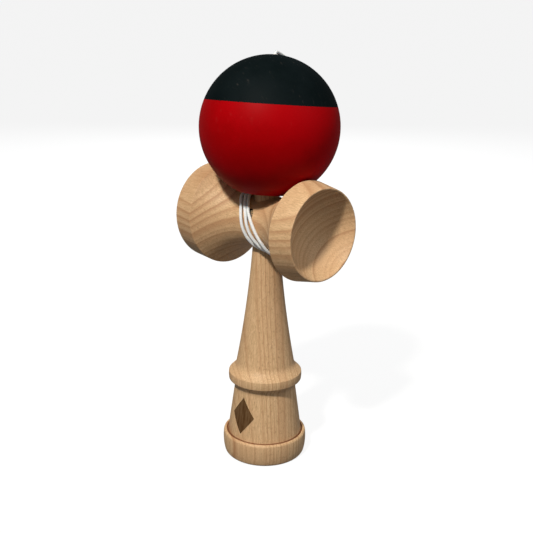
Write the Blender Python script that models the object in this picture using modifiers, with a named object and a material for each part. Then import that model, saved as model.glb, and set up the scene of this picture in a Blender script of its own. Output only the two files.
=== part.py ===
"""A kendama: a turned beech ken with a spike, a turned double cup (sarado) wedged across
it, a drilled ball (tama) resting on the spike, and the string that ties them together.

The origin is at the centre of the ken's foot, +Z runs up the spike, +X points along the
cups towards the small cup, and -Y is the side with the string's end knot.
"""

import math

import bmesh
import bpy
from mathutils import Matrix, Vector

MM = 0.001

# Ken: heights above the foot and radii, in mm.
KEN_TOP = 158.0
TIP_RADIUS = 2.6
SPIKE_FOOT_Z = 121.0
SPIKE_FOOT_RADIUS = 5.5
GRIP_TOP_Z = 98.2
GRIP_TOP_RADIUS = 6.15
GRIP_SLOPE = 0.0759
GRIP_FLARE = 0.00105
GRIP_FOOT_Z = 43.3
COLLAR_TOP_Z = 40.3
COLLAR_BOTTOM_Z = 36.4
COLLAR_RADIUS = 16.8
COLLAR_TOP_BEVEL = (0.25, 0.8)
COLLAR_BOTTOM_BEVEL = (0.3, 1.2)
COVE_FOOT_Z = 33.2
COVE_FOOT_RADIUS = 13.95
COVE_LIP = (14.95, 34.9)
CONE_FOOT_Z = 11.0
CONE_FOOT_RADIUS = 17.05
GROOVE_FLOOR = (17.25, 9.7)
BASE_TOP_Z = 10.3
BASE_SHOULDER_RADIUS = 19.2
BASE_SHOULDER_ROUND = 0.9
BASE_SIDE = [(19.4, 6.7), (19.1, 3.2), (18.65, 0.9), (18.0, 0.0)]
BASE_CUP_RADIUS = 16.9
BASE_CUP_DEPTH = 8.0

# Sarado: distances from the ken's axis along X and radii about its own axis, in mm.
SARADO_Z = 109.8
NECK_RADIUS = 11.2
SMALL_CUP = {"rim_x": 34.7, "rim_r": 19.45, "mouth_r": 18.75, "depth": 11.0,
             "crease_x": 24.4, "crease_r": 21.4, "flare": 1.14}
BIG_CUP = {"rim_x": 36.4, "rim_r": 22.3, "mouth_r": 21.6, "depth": 12.5,
           "crease_x": 25.1, "crease_r": 23.2, "flare": 1.24}
RIM_CROWN = 0.12
RIM_ROUND = 0.5
FIT_GAP = 0.3
HOLE_CUTTER_LENGTH = 40.0
STRING_HOLE_Z = 114.4
SARADO_HOLE_RADIUS = 2.3
KEN_HOLE_RADIUS = 1.5

# Tama: its centre at rest, its lean towards the back, and its drillings, in mm.
BALL_CENTRE = (0.6, 0.6, 150.6)
BALL_LEAN = math.radians(4.0)
BALL_RADIUS = 30.0
MOUTH_RADIUS = 11.6
MOUTH_STRAIGHT = 2.0
MOUTH_STRAIGHT_TAPER = 0.2
MOUTH_BEVEL = 4.4
BORE_RADIUS = 8.8
BORE_END = 18.0
BORE_END_BEVEL = 1.5
TOP_HOLE_RADIUS = 1.9
TOP_HOLE_CHAMFER = 0.5
TOP_HOLE_CHAMFER_DEPTH = 0.7

# String, its knots and the bead that holds it inside the ball, in mm.
STRING_RADIUS = 0.7
STRING_GAP = 0.35
STRING_POINT_SPACING = 3.6
RISER_POINT_SPACING = 2.5
STRING_START_Y = -5.7
END_KNOT_RADIUS = 1.9
END_KNOT_STRETCH = 1.05
BEAD_RADIUS = 3.2
BEAD_END_RADIUS = 2.24
BEAD_LENGTH = 4.4
BEAD_SIDE_SHARE = 0.45
BEAD_HOLE_RADIUS = 1.05
BEAD_KNOT_RADIUS = 1.6
BEAD_KNOT_STRETCH = 0.9

TURN_STEPS = 36


def clear_scene():
    for obj in list(bpy.data.objects):
        bpy.data.objects.remove(obj, do_unlink=True)


def new_collection(name, hidden=False):
    collection = bpy.data.collections.new(name)
    bpy.context.scene.collection.children.link(collection)
    collection.hide_render = hidden
    return collection


def material(name, colour, roughness, metallic=0.0):
    made = bpy.data.materials.new(name)
    made.use_nodes = True
    made.diffuse_color = (*colour, 1.0)
    shader = made.node_tree.nodes["Principled BSDF"]
    shader.inputs["Base Color"].default_value = (*colour, 1.0)
    shader.inputs["Roughness"].default_value = roughness
    shader.inputs["Metallic"].default_value = metallic
    return made


def place(obj, collection, finish, location=(0.0, 0.0, 0.0), rotation=(0.0, 0.0, 0.0)):
    obj.location = Vector(location) * MM
    obj.rotation_euler = rotation
    if finish:
        obj.data.materials.append(finish)
    collection.objects.link(obj)
    return obj


def arc(centre, radius, start, end, steps):
    """Points (r, z) on an arc whose centre is (r, z); angles in degrees from +r."""
    points = []
    for i in range(steps + 1):
        angle = math.radians(start + (end - start) * i / steps)
        points.append((centre[0] + radius * math.cos(angle), centre[1] + radius * math.sin(angle)))
    return points


def turned(name, profile, closed=False, steps=TURN_STEPS):
    """A solid turned about local Z from a profile of (r, z) points in mm, top to bottom."""
    mesh = bpy.data.meshes.new(name)
    edges = [(i, i + 1) for i in range(len(profile) - 1)]
    if closed:
        edges.append((len(profile) - 1, 0))
    mesh.from_pydata([(r * MM, 0.0, z * MM) for r, z in profile], edges, [])
    obj = bpy.data.objects.new(name, mesh)
    screw = obj.modifiers.new("Turn", "SCREW")
    screw.axis = "Z"
    screw.steps = steps
    screw.render_steps = steps
    screw.use_merge_vertices = True
    screw.merge_threshold = 0.00001
    screw.use_smooth_shade = True
    return obj


def cut(obj, cutter):
    boolean = obj.modifiers.new("Cut " + cutter.name, "BOOLEAN")
    boolean.operation = "DIFFERENCE"
    boolean.solver = "EXACT"
    boolean.object = cutter


def cone_cutter(name, collection, low_radius, high_radius, length, location, rotation, sides):
    """A closed cone about its local Z, centred on location."""
    mesh = bpy.data.meshes.new(name)
    bm = bmesh.new()
    bmesh.ops.create_cone(bm, cap_ends=True, segments=sides, radius1=low_radius * MM,
                          radius2=high_radius * MM, depth=length * MM)
    bm.to_mesh(mesh)
    bm.free()
    obj = bpy.data.objects.new(name, mesh)
    obj.display_type = "WIRE"
    obj.hide_render = True
    return place(obj, collection, None, location, rotation)


def grip_radius(z):
    drop = GRIP_TOP_Z - z
    return GRIP_TOP_RADIUS + GRIP_SLOPE * drop + GRIP_FLARE * drop * drop


def ken_profile():
    points = arc((0.0, KEN_TOP - TIP_RADIUS), TIP_RADIUS, 90, 6, 5)
    points[0] = (0.0, KEN_TOP)
    points.append((SPIKE_FOOT_RADIUS, SPIKE_FOOT_Z))
    grip_steps = 9
    for i in range(grip_steps + 1):
        z = GRIP_TOP_Z + (GRIP_FOOT_Z - GRIP_TOP_Z) * i / grip_steps
        points.append((grip_radius(z), z))
    top_in, top_down = COLLAR_TOP_BEVEL
    bottom_in, bottom_up = COLLAR_BOTTOM_BEVEL
    points += [(COLLAR_RADIUS - top_in, COLLAR_TOP_Z), (COLLAR_RADIUS, COLLAR_TOP_Z - top_down),
               (COLLAR_RADIUS, COLLAR_BOTTOM_Z + bottom_up),
               (COLLAR_RADIUS - bottom_in, COLLAR_BOTTOM_Z),
               COVE_LIP, (COVE_FOOT_RADIUS, COVE_FOOT_Z),
               (CONE_FOOT_RADIUS, CONE_FOOT_Z), GROOVE_FLOOR]
    shoulder = (BASE_SHOULDER_RADIUS - BASE_SHOULDER_ROUND, BASE_TOP_Z - BASE_SHOULDER_ROUND)
    points += arc(shoulder, BASE_SHOULDER_ROUND, 120, 0, 3) + BASE_SIDE
    sphere = (BASE_CUP_RADIUS ** 2 + BASE_CUP_DEPTH ** 2) / (2 * BASE_CUP_DEPTH)
    low = math.degrees(math.acos(BASE_CUP_RADIUS / sphere))
    hollow = arc((0.0, BASE_CUP_DEPTH - sphere), sphere, low, 90, 7)
    hollow[0] = (BASE_CUP_RADIUS, 0.0)
    hollow[-1] = (0.0, BASE_CUP_DEPTH)
    return points + hollow


def neck_radius(x):
    """The sarado's outer radius between its creases, x in mm along its axis."""
    cup = SMALL_CUP if x > 0 else BIG_CUP
    t = min(abs(x) / cup["crease_x"], 1.0)
    near = 2 * t ** 3 - 3 * t ** 2 + 1
    flare = cup["flare"] * cup["crease_x"] * (t ** 3 - t ** 2)
    return NECK_RADIUS * near + cup["crease_r"] * (1 - near) + flare


def cup_hollow(cup, steps=7):
    """Points (r, distance from the ken's axis) from the hollow's centre to its mouth."""
    sphere = (cup["mouth_r"] ** 2 + cup["depth"] ** 2) / (2 * cup["depth"])
    centre = cup["rim_x"] - cup["depth"] + sphere
    edge = math.degrees(math.asin(cup["mouth_r"] / sphere))
    points = []
    for i in range(steps + 1):
        angle = math.radians(edge * i / steps)
        points.append((sphere * math.sin(angle), centre - sphere * math.cos(angle)))
    points[0] = (0.0, cup["rim_x"] - cup["depth"])
    return points


def cup_half(cup, sign):
    """Profile (r, x) from a hollow's centre over its rim to the neck."""
    points = cup_hollow(cup)
    points += [((cup["rim_r"] + cup["mouth_r"]) / 2, cup["rim_x"] + RIM_CROWN),
               (cup["rim_r"], cup["rim_x"] - RIM_ROUND), (cup["crease_r"], cup["crease_x"])]
    neck_steps = 9
    for i in range(1, neck_steps):
        x = cup["crease_x"] * (1 - i / neck_steps)
        points.append((neck_radius(sign * x), x))
    return [(r, sign * x) for r, x in points]


def make_ken(parts, cutters, beech):
    ken = turned("ken", ken_profile())
    place(ken, parts, beech)
    hole = cone_cutter("ken_string_hole", cutters, KEN_HOLE_RADIUS, KEN_HOLE_RADIUS,
                       HOLE_CUTTER_LENGTH, (0.0, 0.0, STRING_HOLE_Z), (math.pi / 2, 0.0, 0.0), 12)
    cut(ken, hole)
    return ken


def make_sarado(parts, cutters, beech):
    small = cup_half(SMALL_CUP, 1)
    big = cup_half(BIG_CUP, -1)
    profile = small + [(NECK_RADIUS, 0.0)] + big[::-1]
    sarado = turned("sarado", profile)
    place(sarado, parts, beech, (0.0, 0.0, SARADO_Z), (0.0, math.pi / 2, 0.0))
    taper = (GRIP_TOP_RADIUS - SPIKE_FOOT_RADIUS) / (SPIKE_FOOT_Z - GRIP_TOP_Z)
    middle = SPIKE_FOOT_RADIUS + taper * (SPIKE_FOOT_Z - SARADO_Z) + FIT_GAP
    half = taper * HOLE_CUTTER_LENGTH / 2
    bore = cone_cutter("sarado_bore", cutters, middle + half, middle - half, HOLE_CUTTER_LENGTH,
                       (0.0, 0.0, SARADO_Z), (0.0, 0.0, 0.0), TURN_STEPS)
    holes = cone_cutter("sarado_string_holes", cutters, SARADO_HOLE_RADIUS, SARADO_HOLE_RADIUS,
                        HOLE_CUTTER_LENGTH, (0.0, 0.0, STRING_HOLE_Z), (math.pi / 2, 0.0, 0.0),
                        16)
    cut(sarado, bore)
    cut(sarado, holes)
    return sarado


def ball_matrix():
    """The ball's own frame in mm: its drilling runs along local Z."""
    return Matrix.Translation(BALL_CENTRE) @ Matrix.Rotation(-BALL_LEAN, 4, "X")


def make_tama(parts, paint):
    top = math.degrees(math.acos((TOP_HOLE_RADIUS + TOP_HOLE_CHAMFER) / BALL_RADIUS))
    mouth = -math.degrees(math.acos(MOUTH_RADIUS / BALL_RADIUS))
    profile = arc((0.0, 0.0), BALL_RADIUS, top, mouth, 22)
    mouth_z = profile[-1][1]
    profile += [(MOUTH_RADIUS - MOUTH_STRAIGHT_TAPER, mouth_z + MOUTH_STRAIGHT),
                (BORE_RADIUS, mouth_z + MOUTH_BEVEL), (BORE_RADIUS, BORE_END - BORE_END_BEVEL),
                (BORE_RADIUS - BORE_END_BEVEL, BORE_END), (TOP_HOLE_RADIUS, BORE_END),
                (TOP_HOLE_RADIUS, BALL_RADIUS - TOP_HOLE_CHAMFER_DEPTH)]
    tama = turned("tama", profile, closed=True)
    return place(tama, parts, paint, BALL_CENTRE, (-BALL_LEAN, 0.0, 0.0))


def bead_top():
    return BORE_END - FIT_GAP


def make_bead(parts, finish):
    half = BEAD_LENGTH / 2
    wide = half * BEAD_SIDE_SHARE
    side = [(BEAD_HOLE_RADIUS, half), (BEAD_END_RADIUS, half), (BEAD_RADIUS, wide),
            (BEAD_RADIUS, -wide), (BEAD_END_RADIUS, -half), (BEAD_HOLE_RADIUS, -half)]
    bead = turned("bead", side, closed=True, steps=20)
    centre = ball_matrix() @ Vector((0.0, 0.0, bead_top() - half))
    return place(bead, parts, finish, centre, (-BALL_LEAN, 0.0, 0.0))


def make_knot(name, parts, finish, centre, radius, stretch, axis_rotation):
    """A small tight knot, longer along its own string."""
    mesh = bpy.data.meshes.new(name)
    bm = bmesh.new()
    bmesh.ops.create_uvsphere(bm, u_segments=12, v_segments=8, radius=radius * MM)
    bmesh.ops.scale(bm, vec=(1.0, 1.0, stretch), verts=bm.verts)
    bm.to_mesh(mesh)
    bm.free()
    mesh.shade_smooth()
    return place(bpy.data.objects.new(name, mesh), parts, finish, centre, axis_rotation)


def smooth_line(points, per_span=12):
    """A Catmull-Rom curve through the points."""
    ends = [points[0] * 2 - points[1]] + points + [points[-1] * 2 - points[-2]]
    line = []
    for a, b, c, d in zip(ends, ends[1:], ends[2:], ends[3:]):
        for i in range(per_span):
            t = i / per_span
            line.append(0.5 * (2 * b + (c - a) * t + (2 * a - 5 * b + 4 * c - d) * t * t
                               + (3 * b - a - 3 * c + d) * t ** 3))
    return line + [points[-1]]


def evenly(line, spacing):
    """The same line with points a nearly even distance apart."""
    lengths = [0.0]
    for a, b in zip(line, line[1:]):
        lengths.append(lengths[-1] + (b - a).length)
    count = max(2, round(lengths[-1] / spacing))
    points = []
    span = 0
    for i in range(count + 1):
        want = lengths[-1] * i / count
        while span < len(line) - 2 and lengths[span + 1] < want:
            span += 1
        part = (want - lengths[span]) / max(lengths[span + 1] - lengths[span], 1e-9)
        points.append(line[span].lerp(line[span + 1], min(part, 1.0)))
    return points


def string_tube(name, parts, finish, points):
    curve = bpy.data.curves.new(name, "CURVE")
    curve.dimensions = "3D"
    curve.bevel_depth = STRING_RADIUS * MM
    curve.bevel_resolution = 2
    curve.use_fill_caps = True
    spline = curve.splines.new("POLY")
    spline.points.add(len(points) - 1)
    for slot, point in zip(spline.points, points):
        slot.co = (*(point * MM), 1.0)
    obj = bpy.data.objects.new(name, curve)
    return place(obj, parts, finish)


def on_neck(turn_angle, x):
    """A string point on the neck: 0 degrees is the front (-Y), 90 the top, 180 the back."""
    radius = neck_radius(x) + STRING_RADIUS + STRING_GAP
    angle = math.radians(turn_angle)
    return Vector((x, -radius * math.cos(angle), SARADO_Z + radius * math.sin(angle)))


# The string leaves the ken through the sarado's back hole and then winds round the neck,
# over the top beside the spike and under the bottom beside the grip.
STRING_EXIT = [(0.0, STRING_START_Y, STRING_HOLE_Z), (0.0, 0.0, STRING_HOLE_Z),
               (0.0, 5.5, STRING_HOLE_Z), (-0.1, 9.0, 114.4), (-0.9, 11.7, 114.8),
               (-2.6, 12.9, 116.2), (-4.6, 11.8, 118.2), (-6.5, 9.0, 120.1)]
WINDING = [(115, -8.1), (100, -9.15), (90, -9.4), (75, -9.3), (57, -8.6), (37, -5.6), (19, -3.8),
           (-3, -2.2), (-25, -0.5), (-45, 1.2), (-58, 3.9), (-70, 6.4), (-82, 7.5), (-92, 7.8),
           (-105, 7.6), (-125, 6.5), (-150, 4.6), (-180, 2.9), (-205, 1.7), (-228, -2.8),
           (-243, -6.1), (-257, -7.45), (-270, -7.95), (-285, -7.8), (-299, -6.9), (-321, -3.5),
           (-337, -1.3), (-360, 0.8), (-382, 2.8), (-405, 5.4), (-420, 7.6), (-435, 8.9),
           (-452, 9.5), (-466, 9.3), (-485, 8.3), (-510, 6.5), (-540, 4.8), (-565, 4.1),
           (-588, 0.1), (-603, -3.6), (-617, -5.85), (-630, -6.5), (-645, -6.3), (-657, -5.3),
           (-684, -1.1), (-696, 0.7), (-717, 4.4), (-736, 7.3), (-750, 9.2), (-768, 10.5),
           (-790, 11.1), (-812, 11.2), (-828, 10.9), (-846, 9.9), (-860, 8.8)]
NECK_LEAVING = (-868, 8.4)
RISER_START_ON_LINE = 13.0
RISER_MEETS_BALL = 113.5
RISER_END_ON_LINE = 36.0
STRING_SIDE_SHARE = 0.12
STRING_SWING = math.radians(30.0)


def string_side(angle):
    """The ball's pole, and the way the string runs from it at an angle in degrees down the
    ball: it leaves the hole slantwise and bows gently down to its line at the back."""
    pole = ball_matrix().to_3x3() @ Vector((0.0, 0.0, 1.0))
    side = Vector((STRING_SIDE_SHARE, 1.0, 0.0))
    side = (side - pole * side.dot(pole)).normalized()
    swing = STRING_SWING * max(1 - angle / RISER_MEETS_BALL, 0.0)
    return pole, Matrix.Rotation(swing, 3, pole) @ side


def ball_string_point(angle):
    """A string point on the ball's back, at an angle in degrees from its pole."""
    pole, side = string_side(angle)
    radius = BALL_RADIUS + STRING_RADIUS + STRING_GAP
    turn = math.radians(angle)
    return Vector(BALL_CENTRE) + radius * (math.cos(turn) * pole + math.sin(turn) * side)


def riser_ends():
    """Where the string leaves the neck and where it meets the ball, both tangent."""
    return on_neck(*NECK_LEAVING), ball_string_point(RISER_MEETS_BALL)


def winding_route():
    points = [Vector(p) for p in STRING_EXIT] + [on_neck(a, x) for a, x in WINDING]
    neck, ball = riser_ends()
    along = (ball - neck).normalized()
    points += [neck + along * 3.0, neck + along * 8.0, neck + along * RISER_START_ON_LINE]
    return points


def riser_route():
    neck, ball = riser_ends()
    along = (ball - neck).normalized()
    start = neck + along * (RISER_START_ON_LINE + FIT_GAP)
    middle = neck + along * (RISER_START_ON_LINE + RISER_END_ON_LINE) / 2
    return [start, middle, neck + along * (RISER_END_ON_LINE - FIT_GAP)]


def top_route():
    """Over the ball's back to its pole, then down its top hole to the knot under the bead."""
    neck, ball = riser_ends()
    along = (ball - neck).normalized()
    points = [neck + along * RISER_END_ON_LINE]
    points += [ball_string_point(angle) for angle in range(106, 10, -7)]
    pole, side = string_side(0)
    bend = 2.9
    start = BALL_RADIUS + STRING_RADIUS + STRING_GAP - bend
    for degrees in (85, 55, 25, 0):
        turn = math.radians(degrees)
        out = bend * (1 - math.cos(turn))
        rise = start + bend * math.sin(turn)
        points.append(Vector(BALL_CENTRE) + side * out + pole * rise)
    end = bead_top() - BEAD_LENGTH - FIT_GAP
    points.append(Vector(BALL_CENTRE) + pole * (start + end) / 2)
    points.append(Vector(BALL_CENTRE) + pole * end)
    return points


def make_string(parts, white):
    lengths = (("string_winding", winding_route(), STRING_POINT_SPACING),
               ("string_riser", riser_route(), RISER_POINT_SPACING),
               ("string_top", top_route(), RISER_POINT_SPACING))
    for name, route, spacing in lengths:
        string_tube(name, parts, white, evenly(smooth_line(route), spacing))


def make_knots(parts, tan, white):
    front = (0.0, STRING_START_Y - FIT_GAP - END_KNOT_RADIUS * END_KNOT_STRETCH, STRING_HOLE_Z)
    make_knot("ken_end_knot", parts, tan, front, END_KNOT_RADIUS, END_KNOT_STRETCH,
              (math.pi / 2, 0.0, 0.0))
    below = bead_top() - BEAD_LENGTH - 2 * FIT_GAP - BEAD_KNOT_RADIUS * BEAD_KNOT_STRETCH
    centre = ball_matrix() @ Vector((0.0, 0.0, below))
    make_knot("bead_knot", parts, white, centre, BEAD_KNOT_RADIUS, BEAD_KNOT_STRETCH,
              (-BALL_LEAN, 0.0, 0.0))


def main():
    clear_scene()
    parts = new_collection("kendama")
    cutters = new_collection("cutters", hidden=True)
    beech = material("beech", (0.72, 0.52, 0.33), 0.55)
    paint = material("rubber paint", (0.45, 0.005, 0.015), 0.5)
    white = material("white nylon", (0.85, 0.86, 0.84), 0.7)
    tan = material("melted string end", (0.62, 0.42, 0.22), 0.5)
    dark_wood = material("dark bead", (0.25, 0.12, 0.05), 0.5)
    make_ken(parts, cutters, beech)
    make_sarado(parts, cutters, beech)
    make_tama(parts, paint)
    make_bead(parts, dark_wood)
    make_string(parts, white)
    make_knots(parts, tan, white)


main()
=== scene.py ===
"""Looks of the kendama: detailed turned beech, rubber-painted ball, braided string.

Every size is in millimetres times MM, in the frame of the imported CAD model: +Z runs up
the spike, +X points along the cups towards the small cup, and -Y is the front.
"""

import math

import bmesh
import bpy
from mathutils import Euler, Matrix, Vector


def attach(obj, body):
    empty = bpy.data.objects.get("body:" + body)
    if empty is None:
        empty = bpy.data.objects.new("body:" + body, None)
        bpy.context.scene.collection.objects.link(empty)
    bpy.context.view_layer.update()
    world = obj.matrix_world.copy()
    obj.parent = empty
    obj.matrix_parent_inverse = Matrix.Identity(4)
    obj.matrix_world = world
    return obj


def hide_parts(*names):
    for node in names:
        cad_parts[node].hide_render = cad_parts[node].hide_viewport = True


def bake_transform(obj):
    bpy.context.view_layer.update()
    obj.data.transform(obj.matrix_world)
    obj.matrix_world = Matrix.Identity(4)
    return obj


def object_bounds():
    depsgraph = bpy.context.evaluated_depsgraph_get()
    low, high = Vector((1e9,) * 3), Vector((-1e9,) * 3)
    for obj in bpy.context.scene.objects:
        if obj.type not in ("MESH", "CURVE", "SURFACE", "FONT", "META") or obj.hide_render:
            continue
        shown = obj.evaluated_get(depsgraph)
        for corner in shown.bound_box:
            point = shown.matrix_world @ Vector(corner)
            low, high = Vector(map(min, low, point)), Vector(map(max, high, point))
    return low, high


MM = 0.001
TURN_STEPS = 160

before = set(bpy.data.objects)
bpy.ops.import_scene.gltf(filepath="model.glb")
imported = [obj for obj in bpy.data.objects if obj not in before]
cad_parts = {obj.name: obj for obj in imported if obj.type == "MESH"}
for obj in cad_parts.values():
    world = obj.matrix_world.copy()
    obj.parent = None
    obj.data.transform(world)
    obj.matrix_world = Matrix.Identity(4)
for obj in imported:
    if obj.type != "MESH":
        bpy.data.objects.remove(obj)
cad_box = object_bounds()


# ---------------------------------------------------------------- camera and light

CAMERA_PLACE = (0.24015, -0.22065, 0.18149)
CAMERA_TURN = (1.29538, -0.0101, 0.83016)
FOCAL_LENGTH_MM = 51.33
SENSOR_MM = 36.0


def link(obj):
    bpy.context.scene.collection.objects.link(obj)
    return obj


def make_camera():
    camera = link(bpy.data.objects.new("camera", bpy.data.cameras.new("camera")))
    camera.location = CAMERA_PLACE
    camera.rotation_euler = Euler(CAMERA_TURN)
    camera.data.sensor_width = SENSOR_MM
    camera.data.lens = FOCAL_LENGTH_MM
    camera.data.clip_start = 0.01
    bpy.context.scene.camera = camera


def area_light(name, towards, distance, size, power, colour):
    """A square light that shines on the middle of the object from a direction. Sizes in m."""
    data = bpy.data.lights.new(name, "AREA")
    data.size = size
    data.energy = power
    data.color = colour
    lamp = link(bpy.data.objects.new(name, data))
    direction = Vector(towards).normalized()
    middle = (cad_box[0] + cad_box[1]) / 2
    lamp.location = middle + direction * distance
    lamp.rotation_euler = direction.to_track_quat("Z", "Y").to_euler()
    return lamp


def make_lights():
    area_light("key", towards=(0.24, -0.62, 0.75), distance=1.1, size=0.09, power=11.7,
               colour=(1.0, 0.965, 0.91))
    area_light("fill", towards=(0.95, 0.35, 0.75), distance=1.4, size=1.0, power=4.4,
               colour=(0.95, 0.98, 1.0))
    back = area_light("back", towards=(-0.75, 0.65, 0.6), distance=1.4, size=0.4, power=8.5,
                      colour=(0.97, 0.98, 1.0))
    back.visible_glossy = False
    world = bpy.data.worlds.new("studio")
    world.use_nodes = True
    background = world.node_tree.nodes["Background"]
    background.inputs["Color"].default_value = (0.95, 0.97, 1.0, 1.0)
    background.inputs["Strength"].default_value = 0.15
    bpy.context.scene.world = world


# ---------------------------------------------------------------- mesh helpers


def wearing(mesh, *materials):
    for made in materials:
        mesh.materials.append(made)
    return mesh


def finished(mesh, *materials, sharp_degrees=32.0):
    """Smooth shading, with edges sharper than an angle kept crisp."""
    wearing(mesh, *materials)
    mesh.shade_smooth()
    mesh.set_sharp_from_angle(angle=math.radians(sharp_degrees))
    return mesh


def arc(centre, radius, start, end, steps):
    """Points (r, z) about a centre (r, z), with angles in degrees from +r."""
    points = []
    for i in range(steps + 1):
        angle = math.radians(start + (end - start) * i / steps)
        points.append((centre[0] + radius * math.cos(angle),
                       centre[1] + radius * math.sin(angle)))
    return points


# The most of a span that one rounding may take, and how far past its rounding, as a share
# of its reach, a corner's holding points lie.
SPAN_SHARE = 0.46
HOLD = 0.06


def softened(corners, steps=5):
    """An outline through corners (r, z, reach): each corner is rounded over its reach.

    A point just outside each rounding keeps the smooth shading from spreading past it.
    """
    outline = []
    for i, (r, z, reach) in enumerate(corners):
        here = Vector((r, z))
        if reach <= 0 or i in (0, len(corners) - 1):
            outline.append((r, z))
            continue
        before = Vector(corners[i - 1][:2]) - here
        after = Vector(corners[i + 1][:2]) - here
        start = before.normalized() * min(reach, before.length * SPAN_SHARE)
        end = after.normalized() * min(reach, after.length * SPAN_SHARE)
        outline.append(tuple(here + start * (1 + HOLD)))
        for k in range(steps + 1):
            t = k / steps
            outline.append(tuple(here + start * (1 - t) ** 2 + end * t * t))
        outline.append(tuple(here + end * (1 + HOLD)))
    return outline


def divided(outline, longest):
    """The same outline with no span longer than that."""
    points = [outline[0]]
    for a, b in zip(outline, outline[1:]):
        count = max(1, math.ceil(math.dist(a, b) / longest))
        for i in range(1, count + 1):
            t = i / count
            points.append((a[0] + (b[0] - a[0]) * t, a[1] + (b[1] - a[1]) * t))
    return points


def turned(name, outline, closed=False, steps=TURN_STEPS):
    """A mesh turned about Z from (r, z) points in mm. Points on the axis close its ends."""
    bm = bmesh.new()
    rings = []
    for r, z in outline:
        if r < 1e-6:
            rings.append([bm.verts.new((0.0, 0.0, z * MM))])
            continue
        ring = []
        for i in range(steps):
            angle = 2 * math.pi * i / steps
            ring.append(bm.verts.new((r * MM * math.cos(angle), r * MM * math.sin(angle),
                                      z * MM)))
        rings.append(ring)
    pairs = list(zip(rings, rings[1:])) + ([(rings[-1], rings[0])] if closed else [])
    for low, high in pairs:
        for i in range(steps):
            j = (i + 1) % steps
            if len(low) == 1:
                bm.faces.new((low[0], high[j], high[i]))
            elif len(high) == 1:
                bm.faces.new((low[i], low[j], high[0]))
            else:
                bm.faces.new((low[i], low[j], high[j], high[i]))
    bmesh.ops.recalc_face_normals(bm, faces=bm.faces)
    mesh = bpy.data.meshes.new(name)
    bm.to_mesh(mesh)
    bm.free()
    return mesh


def drilled(mesh, *cutters):
    """The mesh with each cutter mesh taken out of it. The cut wears the cutter's material."""
    work = link(bpy.data.objects.new("work", mesh))
    helpers = []
    for cutter in cutters:
        helper = link(bpy.data.objects.new("cutter", cutter))
        helpers.append(helper)
        boolean = work.modifiers.new("drill", "BOOLEAN")
        boolean.operation = "DIFFERENCE"
        boolean.solver = "EXACT"
        boolean.material_mode = "TRANSFER"
        boolean.object = helper
    graph = bpy.context.evaluated_depsgraph_get()
    result = bpy.data.meshes.new_from_object(work.evaluated_get(graph))
    for obj in [work, *helpers]:
        bpy.data.objects.remove(obj, do_unlink=True)
    result.name = mesh.name
    return result


def moved(mesh, matrix):
    mesh.transform(matrix)
    return mesh


def along_y(z):
    """Turns something made about Z to run along Y at a height."""
    return Matrix.Translation((0, 0, z * MM)) @ Matrix.Rotation(math.pi / 2, 4, "X")


def piece(name, mesh, body, slot, *nodes):
    obj = link(bpy.data.objects.new(name, mesh))
    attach(obj, body)
    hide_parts(*nodes)
    return obj


# ---------------------------------------------------------------- string route

SARADO_Z = 109.8
NECK_RADIUS = 11.2
SMALL_CUP = {"rim_x": 34.7, "rim_r": 19.45, "mouth_r": 18.75, "depth": 11.0,
             "crease_x": 24.4, "crease_r": 21.4, "flare": 1.14}
BIG_CUP = {"rim_x": 36.4, "rim_r": 22.3, "mouth_r": 21.6, "depth": 12.5,
           "crease_x": 25.1, "crease_r": 23.2, "flare": 1.24}
BALL_CENTRE = (0.6, 0.6, 150.6)
BALL_LEAN = math.radians(4.0)
BALL_RADIUS = 30.0
BORE_END = 18.0
FIT_GAP = 0.3
BEAD_LENGTH = 4.4
STRING_RADIUS = 0.7
STRING_GAP = 0.35
STRING_HOLE_Z = 114.4
STRING_STEP = 0.3
STRING_SIDES = 16

# The string leaves the ken through the sarado's back hole and then winds round the neck,
# over the top beside the spike and under the bottom beside the grip.
STRING_EXIT = [(0.0, -5.7, STRING_HOLE_Z), (0.0, 0.0, STRING_HOLE_Z), (0.0, 5.5, STRING_HOLE_Z),
               (-0.1, 9.0, 114.4), (-0.9, 11.7, 114.8), (-2.6, 12.9, 116.2), (-4.6, 11.8, 118.2),
               (-6.5, 9.0, 120.1)]
WINDING = [(115, -8.1), (100, -9.15), (90, -9.4), (75, -9.3), (57, -8.6), (37, -5.6), (19, -3.8),
           (-3, -2.2), (-25, -0.5), (-45, 1.2), (-58, 3.9), (-70, 6.4), (-82, 7.5), (-92, 7.8),
           (-105, 7.6), (-125, 6.5), (-150, 4.6), (-180, 2.9), (-205, 1.7), (-228, -2.8),
           (-243, -6.1), (-257, -7.45), (-270, -7.95), (-285, -7.8), (-299, -6.9), (-321, -3.5),
           (-337, -1.3), (-360, 0.8), (-382, 2.8), (-405, 5.4), (-420, 7.6), (-435, 8.9),
           (-452, 9.5), (-466, 9.3), (-485, 8.3), (-510, 6.5), (-540, 4.8), (-565, 4.1),
           (-588, 0.1), (-603, -3.6), (-617, -5.85), (-630, -6.5), (-645, -6.3), (-657, -5.3),
           (-684, -1.1), (-696, 0.7), (-717, 4.4), (-736, 7.3), (-750, 9.2), (-768, 10.5),
           (-790, 11.1), (-812, 11.2), (-828, 10.9), (-846, 9.9), (-860, 8.8)]
LEAVES_NECK = (-868, 8.4)
MEETS_BALL = 113.5
CLIMB = (3.0, 8.0, 13.0, 24.5, 36.0)
ANGLES_OVER_BALL = range(106, 10, -7)
BEND_AT_HOLE = 2.9
# Leans back more than the string's climb does, so that no turn round the neck is drawn up.
STRING_SIDE_SHARE = 0.12
STRING_SWING = math.radians(30.0)


def ball_matrix():
    """The ball's own frame in mm: its drilling runs along local Z."""
    return Matrix.Translation(BALL_CENTRE) @ Matrix.Rotation(-BALL_LEAN, 4, "X")


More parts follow.
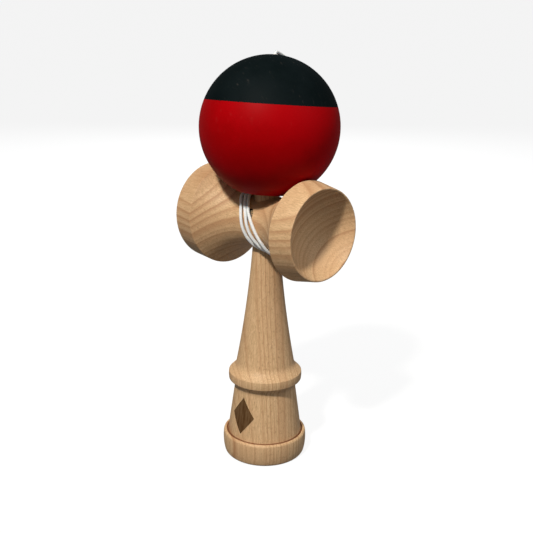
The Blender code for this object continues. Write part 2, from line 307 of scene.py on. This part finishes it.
def neck_radius(x):
    """The sarado's outer radius between its creases, x in mm along its axis."""
    cup = SMALL_CUP if x > 0 else BIG_CUP
    t = min(abs(x) / cup["crease_x"], 1.0)
    near = 2 * t ** 3 - 3 * t ** 2 + 1
    flare = cup["flare"] * cup["crease_x"] * (t ** 3 - t ** 2)
    return NECK_RADIUS * near + cup["crease_r"] * (1 - near) + flare


def on_neck(turn_angle, x):
    """A string point on the neck: 0 degrees is the front (-Y), 90 the top, 180 the back."""
    radius = neck_radius(x) + STRING_RADIUS + STRING_GAP
    angle = math.radians(turn_angle)
    return Vector((x, -radius * math.cos(angle), SARADO_Z + radius * math.sin(angle)))


def string_side(angle):
    """The ball's pole, and the way the string runs from it at an angle in degrees down the
    ball: it leaves the hole slantwise and bows gently down to its line at the back."""
    pole = ball_matrix().to_3x3() @ Vector((0.0, 0.0, 1.0))
    side = Vector((STRING_SIDE_SHARE, 1.0, 0.0))
    side = (side - pole * side.dot(pole)).normalized()
    swing = STRING_SWING * max(1 - angle / MEETS_BALL, 0.0)
    return pole, Matrix.Rotation(swing, 3, pole) @ side


def ball_string_point(angle):
    """A string point on the ball's back, at an angle in degrees from its pole."""
    pole, side = string_side(angle)
    radius = BALL_RADIUS + STRING_RADIUS + STRING_GAP
    turn = math.radians(angle)
    return Vector(BALL_CENTRE) + radius * (math.cos(turn) * pole + math.sin(turn) * side)


def smooth_line(points, per_span=12):
    """A Catmull-Rom curve through the points."""
    ends = [points[0] * 2 - points[1]] + points + [points[-1] * 2 - points[-2]]
    line = []
    for a, b, c, d in zip(ends, ends[1:], ends[2:], ends[3:]):
        for i in range(per_span):
            t = i / per_span
            line.append(0.5 * (2 * b + (c - a) * t + (2 * a - 5 * b + 4 * c - d) * t * t
                               + (3 * b - a - 3 * c + d) * t ** 3))
    return line + [points[-1]]


def evenly(line, spacing):
    """The same line with points a nearly even distance apart."""
    lengths = [0.0]
    for a, b in zip(line, line[1:]):
        lengths.append(lengths[-1] + (b - a).length)
    count = max(2, round(lengths[-1] / spacing))
    points = []
    span = 0
    for i in range(count + 1):
        want = lengths[-1] * i / count
        while span < len(line) - 2 and lengths[span + 1] < want:
            span += 1
        part = (want - lengths[span]) / max(lengths[span + 1] - lengths[span], 1e-9)
        points.append(line[span].lerp(line[span + 1], min(part, 1.0)))
    return points


def string_route():
    """From inside the ken, round the neck, up the ball's back and down through its top hole."""
    points = [Vector(p) for p in STRING_EXIT] + [on_neck(a, x) for a, x in WINDING]
    neck, ball = on_neck(*LEAVES_NECK), ball_string_point(MEETS_BALL)
    along = (ball - neck).normalized()
    points += [neck + along * reach for reach in CLIMB]
    points += [ball_string_point(angle) for angle in ANGLES_OVER_BALL]
    pole, side = string_side(0)
    start = BALL_RADIUS + STRING_RADIUS + STRING_GAP - BEND_AT_HOLE
    for degrees in (85, 55, 25, 0):
        turn = math.radians(degrees)
        points.append(Vector(BALL_CENTRE) + side * BEND_AT_HOLE * (1 - math.cos(turn))
                      + pole * (start + BEND_AT_HOLE * math.sin(turn)))
    end = BORE_END - FIT_GAP - BEAD_LENGTH - FIT_GAP
    points.append(Vector(BALL_CENTRE) + pole * (start + end) / 2)
    points.append(Vector(BALL_CENTRE) + pole * end)
    return [point * MM for point in evenly(smooth_line(points), STRING_STEP)]


def braided_tube(name, line, radius, sides, pitch=2.4 * MM, relief=0.07):
    """A round cord with the low diamonds of a tight braid pressed into its surface."""
    bm = bmesh.new()
    normal = (line[1] - line[0]).normalized().orthogonal()
    rings = []
    travelled = 0.0
    for i, point in enumerate(line):
        before, after = line[max(i - 1, 0)], line[min(i + 1, len(line) - 1)]
        tangent = (after - before).normalized()
        normal = (normal - tangent * normal.dot(tangent)).normalized()
        across = tangent.cross(normal)
        travelled += (point - before).length
        phase = 2 * math.pi * travelled / pitch
        ring = []
        for k in range(sides):
            angle = 2 * math.pi * k / sides
            weave = math.sin(2 * angle + phase) * math.sin(2 * angle - phase)
            reach = radius * (1 - relief / 2 + relief * abs(weave))
            ring.append(bm.verts.new(point + (normal * math.cos(angle)
                                              + across * math.sin(angle)) * reach))
        rings.append(ring)
    for low, high in zip(rings, rings[1:]):
        for k in range(sides):
            j = (k + 1) % sides
            bm.faces.new((low[k], low[j], high[j], high[k]))
    bm.faces.new(rings[0][::-1])
    bm.faces.new(rings[-1])
    bmesh.ops.recalc_face_normals(bm, faces=bm.faces)
    mesh = bpy.data.meshes.new(name)
    bm.to_mesh(mesh)
    bm.free()
    return mesh


# ---------------------------------------------------------------- material helpers


class Surface:
    """A material and short ways to add nodes to it."""

    def __init__(self, name, roughness=0.5, **fixed):
        self.material = bpy.data.materials.new(name)
        self.material.use_nodes = True
        self.tree = self.material.node_tree
        self.shader = self.tree.nodes["Principled BSDF"]
        self.shader.inputs["Roughness"].default_value = roughness
        for socket, value in fixed.items():
            self.shader.inputs[socket.replace("_", " ")].default_value = value

    def put(self, socket, value):
        if isinstance(value, bpy.types.NodeSocket):
            self.tree.links.new(value, socket)
        else:
            socket.default_value = value

    def node(self, kind, inputs=None, output=0, **settings):
        made = self.tree.nodes.new("ShaderNode" + kind)
        for key, value in settings.items():
            setattr(made, key, value)
        for key, value in (inputs or {}).items():
            self.put(made.inputs[key], value)
        return made.outputs[output]

    def math(self, operation, a, b=0.0, c=0.0):
        return self.node("Math", {0: a, 1: b, 2: c}, operation=operation)

    def coordinates(self):
        """The piece's own coordinates, in mm."""
        place = self.node("TexCoord", output="Object")
        return self.node("VectorMath", {0: place, "Scale": 1 / MM}, operation="SCALE")

    def scaled(self, vector, x, y, z):
        return self.node("VectorMath", {0: vector, 1: (x, y, z)}, operation="MULTIPLY")

    def noise(self, vector, scale=1.0, detail=2.0, roughness=0.5):
        return self.node("TexNoise", {"Vector": vector, "Scale": scale, "Detail": detail,
                                      "Roughness": roughness})

    def between(self, value, low, high, to_low=0.0, to_high=1.0):
        return self.node("MapRange", {"Value": value, "From Min": low, "From Max": high,
                                      "To Min": to_low, "To Max": to_high},
                         interpolation_type="SMOOTHSTEP")

    def ramp(self, factor, stops):
        made = self.tree.nodes.new("ShaderNodeValToRGB")
        self.put(made.inputs[0], factor)
        band = made.color_ramp
        while len(band.elements) < len(stops):
            band.elements.new(0.5)
        for element, (place, grey) in zip(band.elements, stops):
            element.position = place
            element.color = (grey, grey, grey, 1.0)
        return made.outputs[0]

    def mix(self, factor, a, b):
        made = self.tree.nodes.new("ShaderNodeMix")
        made.data_type = "RGBA"
        for index, value in ((0, factor), (6, a), (7, b)):
            self.put(made.inputs[index], (*value, 1.0) if isinstance(value, tuple) else value)
        return made.outputs[2]

    def bump(self, height, distance, strength):
        self.put(self.shader.inputs["Normal"], self.node(
            "Bump", {"Height": height, "Distance": distance, "Strength": strength}))

    def colour(self, value):
        whole = (*value, 1.0) if isinstance(value, tuple) else value
        self.put(self.shader.inputs["Base Color"], whole)

    def rough(self, value):
        self.put(self.shader.inputs["Roughness"], value)


# ---------------------------------------------------------------- wood

BEECH_PALE = (0.78, 0.53, 0.295)
BEECH_MID = (0.59, 0.375, 0.19)
BEECH_PINK = (0.67, 0.40, 0.21)
BEECH_RING = (0.42, 0.19, 0.08)
BEECH_RAY = (0.27, 0.13, 0.055)
# The scorch colour darkens wood as a real burn, and on the walls of the sarado's string holes it
# is painted shade.
SCORCH_AND_HOLE_SHADE = (0.070, 0.028, 0.006)
SCORCHED_GROOVE = (0.23, 0.075, 0.028)

# How dark the wood is across one year's ring, from its start to its end.
NARROW_LATE_WOOD = [(0.0, 0.12), (0.08, 0.0), (0.62, 0.06), (0.80, 0.35), (0.90, 1.0),
                    (0.95, 0.5), (1.0, 0.12)]
BROAD_LATE_WOOD = [(0.0, 0.35), (0.12, 0.04), (0.36, 0.08), (0.58, 0.40), (0.80, 0.80),
                   (0.92, 1.0), (1.0, 0.35)]

SEED_STEP_MM = 37.0
RING_DRIFT_MM = 5.0
RING_WANDER = 2.2
FAINTEST_RING = 0.35
RAYS_AROUND, RAYS_OUTWARD, RAYS_ALONG = 2.8, 1.15, 0.85
RAY_STRENGTH = 0.32
PORE_STRENGTH = 0.30
SCORCH_RANGE = 0.12
WOOD_RELIEF_MM = 0.05


def beech(name, grain_axis, pith, ring_width, ring_strength, seed, scorch=0.0,
          late_wood_stops=NARROW_LATE_WOOD, axis_height=0.0, scorch_colour=SCORCH_AND_HOLE_SHADE,
          specular=0.3):
    """Turned beech: growth rings about a far pith, rays across them, fibres and lathe marks.

    pith is the tree's centre in mm in the plane across the grain, and axis_height the
    height of the piece's own axis in that plane. The rings, rays and fibres are solid,
    so a cone, a hollow and a rim each cut them as real wood does.
    """
    s = Surface(name, roughness=0.55, Specular_IOR_Level=specular)
    place = s.coordinates()
    split = s.tree.nodes.new("ShaderNodeSeparateXYZ")
    s.put(split.inputs[0], place)
    order = {"Z": (0, 1, 2), "X": (1, 2, 0)}[grain_axis]
    across_a, across_b, grain = (split.outputs[i] for i in order)
    wood = s.node("CombineXYZ", {0: across_a, 1: across_b,
                                 2: s.math("ADD", grain, seed * SEED_STEP_MM)})

    drift = s.noise(s.scaled(wood, 0.02, 0.02, 0.006), detail=1.0)
    drift = s.math("MULTIPLY", s.math("SUBTRACT", drift, 0.5), RING_DRIFT_MM)
    a = s.math("SUBTRACT", across_a, pith[0])
    b = s.math("SUBTRACT", across_b, pith[1])
    squares = s.math("ADD", s.math("MULTIPLY", a, a), s.math("MULTIPLY", b, b))
    from_pith = s.math("ADD", s.math("SQRT", squares), drift)
    wander = s.node("TexNoise", {"W": from_pith, "Scale": 0.16, "Detail": 1.0},
                    noise_dimensions="1D")
    year = s.math("MULTIPLY_ADD", wander, RING_WANDER,
                  s.math("DIVIDE", from_pith, ring_width))
    late_wood = s.ramp(s.math("FRACT", year), late_wood_stops)
    each_year = s.node("TexWhiteNoise", {"W": s.math("FLOOR", year)}, noise_dimensions="1D")
    depth = s.math("MULTIPLY_ADD", each_year, 1 - FAINTEST_RING, FAINTEST_RING)
    late_wood = s.math("MULTIPLY", late_wood, depth)

    fibres = s.noise(s.scaled(wood, 2.0, 2.0, 0.05), detail=5.0, roughness=0.62)
    cloud = s.noise(s.scaled(wood, 0.06, 0.06, 0.02), detail=2.0)
    around = s.node("Math", {0: b, 1: a}, operation="ARCTAN2")
    from_axis = math.hypot(pith[0], pith[1] - axis_height)
    rays = s.noise(s.node("CombineXYZ", {0: s.math("MULTIPLY", around, RAYS_AROUND * from_axis),
                                         1: s.math("MULTIPLY", from_pith, RAYS_OUTWARD),
                                         2: s.math("MULTIPLY", grain, RAYS_ALONG)}), detail=1.0)
    rays = s.between(rays, 0.58, 0.74)
    pores = s.noise(s.scaled(wood, 5.0, 5.0, 0.7), detail=2.0, roughness=0.6)
    pores = s.between(pores, 0.54, 0.70)

    tone = s.mix(s.between(fibres, 0.32, 0.68), BEECH_PALE, BEECH_MID)
    tone = s.mix(s.between(cloud, 0.35, 0.68, 0.0, 0.45), tone, BEECH_PINK)
    tone = s.mix(s.math("MULTIPLY", late_wood, ring_strength), tone, BEECH_RING)
    tone = s.mix(s.math("MULTIPLY", rays, RAY_STRENGTH), tone, BEECH_RAY)
    tone = s.mix(s.math("MULTIPLY", pores, PORE_STRENGTH), tone, BEECH_RAY)
    # The scorch darkening is a real burn on the ken's mark, groove and bead; on the walls of the
    # sarado's string holes it is painted shade.
    if scorch:
        burn_and_hole_shade = s.between(s.noise(s.scaled(wood, 0.9, 0.9, 0.12), detail=3.0), 0.3, 0.75,
                         scorch - SCORCH_RANGE, scorch)
        tone = s.mix(burn_and_hole_shade, tone, scorch_colour)
    s.colour(tone)
    s.rough(s.between(s.math("ADD", late_wood, pores), 0.0, 1.6, 0.50, 0.64))

    lathe_marks = s.node("TexNoise", {"W": grain, "Scale": 2.6, "Detail": 2.0},
                         noise_dimensions="1D")
    height = s.math("ADD", s.math("MULTIPLY", fibres, 0.6),
                    s.math("MULTIPLY", lathe_marks, 0.35))
    height = s.math("SUBTRACT", height, s.math("MULTIPLY", pores, 0.5))
    height = s.math("SUBTRACT", height, s.math("MULTIPLY", rays, 0.35))
    s.bump(height, WOOD_RELIEF_MM * MM, 0.6)
    return s.material


# ---------------------------------------------------------------- ken

KEN_TOP = 158.0
TIP_RADIUS = 2.6
SPIKE_FOOT = (5.5, 121.0)
GRIP_TOP_Z = 98.2
GRIP_TOP_RADIUS = 6.15
GRIP_FOOT_Z = 43.3
GRIP_SLOPE = 0.0759
GRIP_FLARE = 0.00105

# Corners (r, z, reach of the rounding), from the collar down to the foot.
COLLAR = [(16.7, 40.15, 0.22), (16.84, 38.4, 1.2), (16.66, 36.5, 0.3)]
COVE = [(15.0, 34.9, 0.8), (13.95, 33.1, 1.6)]
GROOVE = [(17.05, 11.0, 0.25), (17.3, 9.75, 0.12), (17.75, 10.45, 0.25)]
BASE_SIDE = [(18.25, 10.75, 0.35), (19.15, 10.1, 0.75), (19.4, 7.4, 1.6), (19.2, 3.4, 1.8),
             (18.6, 0.75, 0.7), (18.0, 0.0, 0.3)]
CONE_TOP = (13.95, 33.2)
CONE_FOOT = (17.05, 11.0)
GROOVE_WOOD_Z = (9.55, 10.7)
GROOVE_WOOD_RADIUS = (17.0, 17.85)
BASE_CUP_RADIUS = 16.9
BASE_CUP_DEPTH = 8.0
KEN_HOLE_RADIUS = 1.5
KEN_HOLE_LENGTH = 20.0
MARK_Z = 21.9
MARK_TURN = math.radians(-84.0)
MARK_HALF_WIDTH = 6.4
MARK_HALF_HEIGHT = 8.6
MARK_DEPTH = 0.22
MARK_CUTTER_RISE = 1.2


def grip_radius(z):
    drop = GRIP_TOP_Z - z
    return GRIP_TOP_RADIUS + GRIP_SLOPE * drop + GRIP_FLARE * drop * drop


def cone_radius(z):
    """The lower cone's radius, between the cove and the base."""
    rise = (z - CONE_FOOT[1]) / (CONE_TOP[1] - CONE_FOOT[1])
    return CONE_FOOT[0] + (CONE_TOP[0] - CONE_FOOT[0]) * rise


def ken_outline():
    tip = arc((0.0, KEN_TOP - TIP_RADIUS), TIP_RADIUS, 90, 5, 12)
    tip[0] = (0.0, KEN_TOP)
    corners = [(*tip[-1], 0), (*SPIKE_FOOT, 6.0), (GRIP_TOP_RADIUS, GRIP_TOP_Z, 6.0)]
    steps = 14
    for i in range(1, steps):
        z = GRIP_TOP_Z + (GRIP_FOOT_Z - GRIP_TOP_Z) * i / steps
        corners.append((grip_radius(z), z, 1.6))
    corners.append((grip_radius(GRIP_FOOT_Z), GRIP_FOOT_Z, 1.5))
    corners += COLLAR + COVE + GROOVE + BASE_SIDE
    sphere = (BASE_CUP_RADIUS ** 2 + BASE_CUP_DEPTH ** 2) / (2 * BASE_CUP_DEPTH)
    low = math.degrees(math.acos(BASE_CUP_RADIUS / sphere))
    hollow = arc((0.0, BASE_CUP_DEPTH - sphere), sphere, low, 90, 20)
    corners += [(BASE_CUP_RADIUS, 0.0, 0.25), (*hollow[1], 0)]
    hollow[-1] = (0.0, BASE_CUP_DEPTH)
    return tip[:-1] + divided(softened(corners), 1.4) + hollow[2:]


def mark_cutter():
    """A plain upright diamond that follows the cone, thick enough to cut a shallow recess."""
    bm = bmesh.new()
    cells = 14
    layers = []
    for depth in (-MARK_DEPTH, MARK_CUTTER_RISE):
        rows = []
        for i in range(cells + 1):
            row = []
            for j in range(cells + 1):
                u, v = i / cells, j / cells
                across = (u - v) * MARK_HALF_WIDTH
                z = MARK_Z + (u + v - 1) * MARK_HALF_HEIGHT
                radius = (cone_radius(z) + depth) * MM
                turn = MARK_TURN + across / cone_radius(MARK_Z)
                row.append(bm.verts.new((radius * math.cos(turn), radius * math.sin(turn),
                                         z * MM)))
            rows.append(row)
        layers.append(rows)
    for rows in layers:
        for i in range(cells):
            for j in range(cells):
                bm.faces.new((rows[i][j], rows[i + 1][j], rows[i + 1][j + 1], rows[i][j + 1]))
    inner, outer = layers
    for k in range(cells):
        for edge in (lambda rows, n: rows[0][n], lambda rows, n: rows[cells][n],
                     lambda rows, n: rows[n][0], lambda rows, n: rows[n][cells]):
            bm.faces.new((edge(inner, k), edge(inner, k + 1),
                          edge(outer, k + 1), edge(outer, k)))
    bmesh.ops.recalc_face_normals(bm, faces=bm.faces)
    mesh = bpy.data.meshes.new("mark cutter")
    bm.to_mesh(mesh)
    bm.free()
    return mesh


def rod(radius, length, sides=48):
    """A plain drill about Z, centred on the origin."""
    half = length / 2
    return turned("drill", [(0.0, half), (radius, half), (radius, -half), (0.0, -half)],
                  steps=sides)


def make_ken(wood, groove_wood, burnt):
    body = wearing(turned("ken", ken_outline()), wood, groove_wood)
    low, high = GROOVE_WOOD_Z
    inner, outer = GROOVE_WOOD_RADIUS
    for face in body.polygons:
        if low < face.center.z / MM < high and inner < face.center.xy.length / MM < outer:
            face.material_index = 1
    drill = rod(KEN_HOLE_RADIUS, KEN_HOLE_LENGTH, 24)
    hole = wearing(moved(drill, along_y(STRING_HOLE_Z)), wood)
    mesh = drilled(body, hole, wearing(mark_cutter(), burnt))
    return piece("ken_turned", finished(mesh), "ken", "beech", "ken")


# ---------------------------------------------------------------- sarado

SPIKE_CLEARANCE = 0.12
BORE_HALF_LENGTH = 18.0
SARADO_HOLE_RADIUS = 2.3
SARADO_HOLE_LENGTH = 40.0
RIM_CROWN = 0.05


def cup_hollow(cup, steps=22):
    """Points (r, distance from the ken's axis) from the hollow's centre to its mouth."""
    sphere = (cup["mouth_r"] ** 2 + cup["depth"] ** 2) / (2 * cup["depth"])
    centre = cup["rim_x"] - cup["depth"] + sphere
    edge = math.degrees(math.asin(cup["mouth_r"] / sphere))
    points = []
    for i in range(steps + 1):
        angle = math.radians(edge * i / steps)
        points.append((sphere * math.sin(angle), centre - sphere * math.cos(angle)))
    points[0] = (0.0, cup["rim_x"] - cup["depth"])
    return points


def cup_outline(cup, sign):
    """From a hollow's centre over its rim and crease to the neck, as (r, x)."""
    hollow = cup_hollow(cup)
    corners = [(*hollow[-2], 0), (cup["mouth_r"], cup["rim_x"], 0.30),
               (cup["rim_r"], cup["rim_x"] + RIM_CROWN, 0.42),
               (cup["crease_r"], cup["crease_x"], 0.3)]
    neck_steps = 26
    for i in range(1, neck_steps + 1):
        x = cup["crease_x"] * (1 - i / neck_steps)
        corners.append((neck_radius(sign * x), x, 0))
    outline = hollow[:-2] + divided(softened(corners), 1.4)
    return [(r, sign * x) for r, x in outline]


def make_sarado(wood, painted_hole_shade_wood):
    outline = cup_outline(SMALL_CUP, 1)[:-1] + cup_outline(BIG_CUP, -1)[::-1]
    body = wearing(turned("sarado", outline), wood, painted_hole_shade_wood)
    moved(body, Matrix.Translation((0, 0, SARADO_Z * MM)) @ Matrix.Rotation(math.pi / 2, 4, "Y"))
    foot_r, foot_z = SPIKE_FOOT
    taper = (GRIP_TOP_RADIUS - foot_r) / (foot_z - GRIP_TOP_Z)
    top_z, bottom_z = SARADO_Z + BORE_HALF_LENGTH, SARADO_Z - BORE_HALF_LENGTH
    top_r = foot_r + taper * (foot_z - top_z) + SPIKE_CLEARANCE
    bottom_r = foot_r + taper * (foot_z - bottom_z) + SPIKE_CLEARANCE
    bore = turned("bore", [(0, top_z), (top_r, top_z), (bottom_r, bottom_z), (0, bottom_z)],
                  steps=96)
    # The string holes' walls wear the dark scorched beech, which is painted shade inside the
    # holes.
    holes = moved(rod(SARADO_HOLE_RADIUS, SARADO_HOLE_LENGTH), along_y(STRING_HOLE_Z))
    mesh = drilled(body, wearing(bore, wood), wearing(holes, painted_hole_shade_wood))
    return piece("sarado_turned", finished(mesh), "ken", "beech", "sarado")


# ---------------------------------------------------------------- tama

MOUTH_RADIUS = 11.6
MOUTH_STRAIGHT = 2.0
MOUTH_STRAIGHT_TAPER = 0.2
MOUTH_BEVEL = 4.4
BORE_RADIUS = 8.8
BORE_END_BEVEL = 1.5
TOP_HOLE_RADIUS = 1.9
TOP_HOLE_CHAMFER = 0.45
TOP_HOLE_CHAMFER_DEPTH = 0.6
PAINT_LINE = 10.2
PAINT_INTO_MOUTH = -27.2
SKIN = 0.35
SCUFF_COLOUR = (0.30, 0.24, 0.20)
DUST_COLOUR = (0.55, 0.42, 0.38)


def tama_outline():
    top = math.degrees(math.acos((TOP_HOLE_RADIUS + TOP_HOLE_CHAMFER) / BALL_RADIUS))
    mouth = -math.degrees(math.acos(MOUTH_RADIUS / BALL_RADIUS))
    skin = arc((0.0, 0.0), BALL_RADIUS, top, mouth, 110)
    mouth_z = skin[-1][1]
    inside = [(*skin[-1], 0.4),
              (MOUTH_RADIUS - MOUTH_STRAIGHT_TAPER, mouth_z + MOUTH_STRAIGHT, 0.5),
              (BORE_RADIUS, mouth_z + MOUTH_BEVEL, 0.5),
              (BORE_RADIUS, BORE_END - BORE_END_BEVEL, 0.4),
              (BORE_RADIUS - BORE_END_BEVEL, BORE_END, 0.4),
              (TOP_HOLE_RADIUS, BORE_END, 0.15),
              (TOP_HOLE_RADIUS, BALL_RADIUS - TOP_HOLE_CHAMFER_DEPTH, 0.2), (*skin[0], 0)]
    return skin[:-1] + divided(softened([(*skin[-2], 0)] + inside), 1.6)[1:-1]


def make_tama(red, black, bare):
    mesh = turned("tama", tama_outline(), closed=True)
    bm = bmesh.new()
    bm.from_mesh(mesh)
    bmesh.ops.bisect_plane(bm, geom=bm.verts[:] + bm.edges[:] + bm.faces[:], dist=1e-7,
                           plane_co=(0.0, 0.0, PAINT_LINE * MM), plane_no=(0.0, 0.0, 1.0))
    for face in bm.faces:
        centre = face.calc_center_median()
        if centre.length < (BALL_RADIUS - SKIN) * MM and centre.z > PAINT_INTO_MOUTH * MM:
            face.material_index = 2
        elif centre.z > PAINT_LINE * MM:
            face.material_index = 1
    bm.to_mesh(mesh)
    bm.free()
    finished(mesh, red, black, bare)
    matrix = ball_matrix()
    matrix.translation *= MM
    obj = link(bpy.data.objects.new("tama_painted", mesh))
    obj.matrix_world = matrix
    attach(obj, "ball")
    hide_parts("tama")
    return obj


def rubber_paint(name, base, bright, roughness, scuffing):
    """Satin rubbery paint: faint orange peel, cloudy handling marks and a few dust specks."""
    s = Surface(name, Specular_IOR_Level=0.04)
    place = s.coordinates()
    cloud = s.noise(s.scaled(place, 0.05, 0.05, 0.05), detail=4.0, roughness=0.6)
    grain = s.noise(place, scale=1.1, detail=3.0, roughness=0.6)
    scuffs = s.noise(s.scaled(place, 0.25, 0.9, 0.14), detail=5.0, roughness=0.7)
    scuffs = s.between(scuffs, 0.60, 0.78)
    cells = s.tree.nodes.new("ShaderNodeTexVoronoi")
    s.put(cells.inputs["Vector"], place)
    s.put(cells.inputs["Scale"], 0.16)
    chosen = s.math("GREATER_THAN", s.node("SeparateColor", {0: cells.outputs["Color"]}), 0.86)
    specks = s.between(cells.outputs["Distance"], 0.034, 0.05, 1.0, 0.0)
    specks = s.math("MULTIPLY", specks, chosen)
    tone = s.mix(s.between(cloud, 0.3, 0.7), base, bright)
    tone = s.mix(s.between(grain, 0.35, 0.75, 0.0, 0.16), tone, bright)
    tone = s.mix(s.math("MULTIPLY", scuffs, scuffing), tone, SCUFF_COLOUR)
    tone = s.mix(s.math("MULTIPLY", specks, 0.45), tone, DUST_COLOUR)
    s.colour(tone)
    s.rough(s.between(s.math("ADD", cloud, scuffs), 0.3, 1.2, roughness - 0.05, roughness + 0.1))
    s.bump(s.math("ADD", grain, s.math("MULTIPLY", specks, 1.5)), 0.04 * MM, 0.35)
    return s.material


# ---------------------------------------------------------------- string, knots and bead


def cord_material(name, pale, shade, roughness=0.75):
    s = Surface(name, roughness=roughness, Sheen_Weight=0.25, Sheen_Roughness=0.4,
                Subsurface_Weight=0.06)
    place = s.coordinates()
    fuzz = s.noise(place, scale=3.2, detail=4.0, roughness=0.65)
    dirt = s.noise(place, scale=0.16, detail=2.0)
    tone = s.mix(s.between(fuzz, 0.3, 0.72), shade, pale)
    tone = s.mix(s.between(dirt, 0.45, 0.75, 0.0, 0.25), tone, shade)
    s.colour(tone)
    s.bump(fuzz, 0.05 * MM, 0.5)
    return s.material


def overhand(radius, turn_radius, points=96):
    """The centreline of a small tight overhand knot, about Z."""
    line = []
    for i in range(points + 1):
        t = 2 * math.pi * i / points
        ring = turn_radius + radius * 0.95 * math.cos(3 * t)
        line.append(Vector((ring * math.cos(2 * t), ring * math.sin(2 * t),
                            radius * 1.15 * math.sin(3 * t))) * MM)
    return line


def make_knot(name, matrix, body, slot, node, finish, tube, turn_radius):
    mesh = braided_tube(name, overhand(tube, turn_radius), tube * MM, 12, pitch=1.6 * MM)
    moved(mesh, matrix)
    return piece(name, finished(mesh, finish, sharp_degrees=60.0), body, slot, node)


def make_bead(finish):
    half = BEAD_LENGTH / 2
    corners = [(1.05, half, 0), (2.1, half, 0.35), (2.95, half * 0.62, 0.7), (3.2, 0.0, 1.2),
               (2.95, -half * 0.62, 0.7), (2.1, -half, 0.35), (1.05, -half, 0.2), (1.05, half, 0)]
    mesh = turned("bead", divided(softened(corners), 0.6)[:-1], closed=True, steps=64)
    matrix = ball_matrix() @ Matrix.Translation((0, 0, BORE_END - FIT_GAP - half))
    matrix.translation *= MM
    return piece("bead_turned", finished(moved(mesh, matrix), finish), "string_head",
                 "bead_wood", "bead")


def make_string(white):
    line = string_route()
    mesh = braided_tube("string", line, STRING_RADIUS * MM, STRING_SIDES)
    obj = link(bpy.data.objects.new("string_braided", finished(mesh, white, sharp_degrees=70.0)))
    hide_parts("string_winding", "string_riser", "string_top")
    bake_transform(obj)
    length = sum((b - a).length for a, b in zip(line, line[1:]))
    return obj, line, length


# ---------------------------------------------------------------- floor


def make_floor():
    """A pale round floor that curves up far away, so that no horizon shows.

    It glows a little to stay pale, and is hidden from the object's own lighting, so that
    it doesn't fill the object's shadows.
    """
    flat, rise, steps = 1700.0, 1500.0, 24
    outline = [(0.0, 0.0), (flat, 0.0)]
    for i in range(1, steps + 1):
        angle = math.radians(90 * i / steps)
        outline.append((flat + rise * math.sin(angle), rise * (1 - math.cos(angle))))
    mesh = turned("floor", outline, steps=96)
    s = Surface("pale floor", roughness=0.8, Specular_IOR_Level=0.2,
                Emission_Color=(1.0, 1.0, 1.0, 1.0), Emission_Strength=0.86)
    s.colour((0.18, 0.18, 0.178))
    mesh.materials.append(s.material)
    mesh.shade_smooth()
    floor = link(bpy.data.objects.new("floor", mesh))
    floor.visible_diffuse = False
    floor.visible_glossy = False


# ---------------------------------------------------------------- everything

END_KNOT_Y = -8.0
BEAD_KNOT_HALF_HEIGHT = 1.44
KEN_GRAIN = {"grain_axis": "Z", "pith": (48.0, 78.0), "ring_width": 2.6, "seed": 1}
CUPS_PITH = (110.0, SARADO_Z - 150.0)

make_camera()
white_cord = cord_material("white braided nylon", (0.95, 0.96, 0.95), (0.76, 0.78, 0.77))
string, string_line, string_length = make_string(white_cord)

# The knot at the string's end is the white string; its tan colours are painted warm light
# reflected from the wood around it inside the holes.
tan_painted_reflection_cord = cord_material("melted string end", (0.62, 0.42, 0.22), (0.40, 0.23, 0.10), 0.45)
end_knot = make_knot("ken_end_knot_tied",
                     Matrix.Translation((0, END_KNOT_Y * MM, 0)) @ along_y(STRING_HOLE_Z),
                     "ken", "melted_string", "ken_end_knot", tan_painted_reflection_cord,
                     tube=0.5, turn_radius=0.75)
knot_z = BORE_END - FIT_GAP - BEAD_LENGTH - 2 * FIT_GAP - BEAD_KNOT_HALF_HEIGHT
knot_place = ball_matrix() @ Matrix.Translation((0, 0, knot_z))
knot_place.translation *= MM
bead_knot = make_knot("bead_knot_tied", knot_place, "string_head", "string_white", "bead_knot",
                      white_cord, tube=0.6, turn_radius=0.95)
bead = make_bead(beech("bead wood", "Z", (30.0, 12.0), ring_width=1.2, ring_strength=0.5,
                       seed=3, scorch=0.62))

ken_beech = beech("beech of the ken", ring_strength=1.05, **KEN_GRAIN)
groove_beech = beech("dark groove", ring_strength=0.8, scorch=0.85,
                     scorch_colour=SCORCHED_GROOVE, **KEN_GRAIN)
# This dark scorched beech is a real burnt mark on the ken's cone, and painted shade on the walls
# of the sarado's string holes.
scorched_beech_and_hole_shade = beech("scorched beech and painted hole shade", ring_strength=0.8, scorch=0.97, specular=0.08,
                       **KEN_GRAIN)
cups_beech = beech("beech of the cups", "X", CUPS_PITH, ring_width=2.7, ring_strength=0.75,
                   seed=2, late_wood_stops=BROAD_LATE_WOOD, axis_height=SARADO_Z)
bare_beech = beech("bare beech inside the ball", "Z", (60.0, 20.0), ring_width=2.6,
                   ring_strength=0.5, seed=5)
red_paint = rubber_paint("red rubber paint", base=(0.305, 0.0, 0.001), bright=(0.38, 0.0, 0.002),
                         roughness=0.5, scuffing=0.03)
black_paint = rubber_paint("black rubber paint", base=(0.0015, 0.0042, 0.0046),
                           bright=(0.004, 0.0076, 0.0084), roughness=0.62, scuffing=0.10)
make_ken(ken_beech, groove_beech, scorched_beech_and_hole_shade)
make_sarado(cups_beech, scorched_beech_and_hole_shade)
make_tama(red_paint, black_paint, bare_beech)

make_floor()
make_lights()
bpy.context.scene.view_settings.view_transform = "Standard"
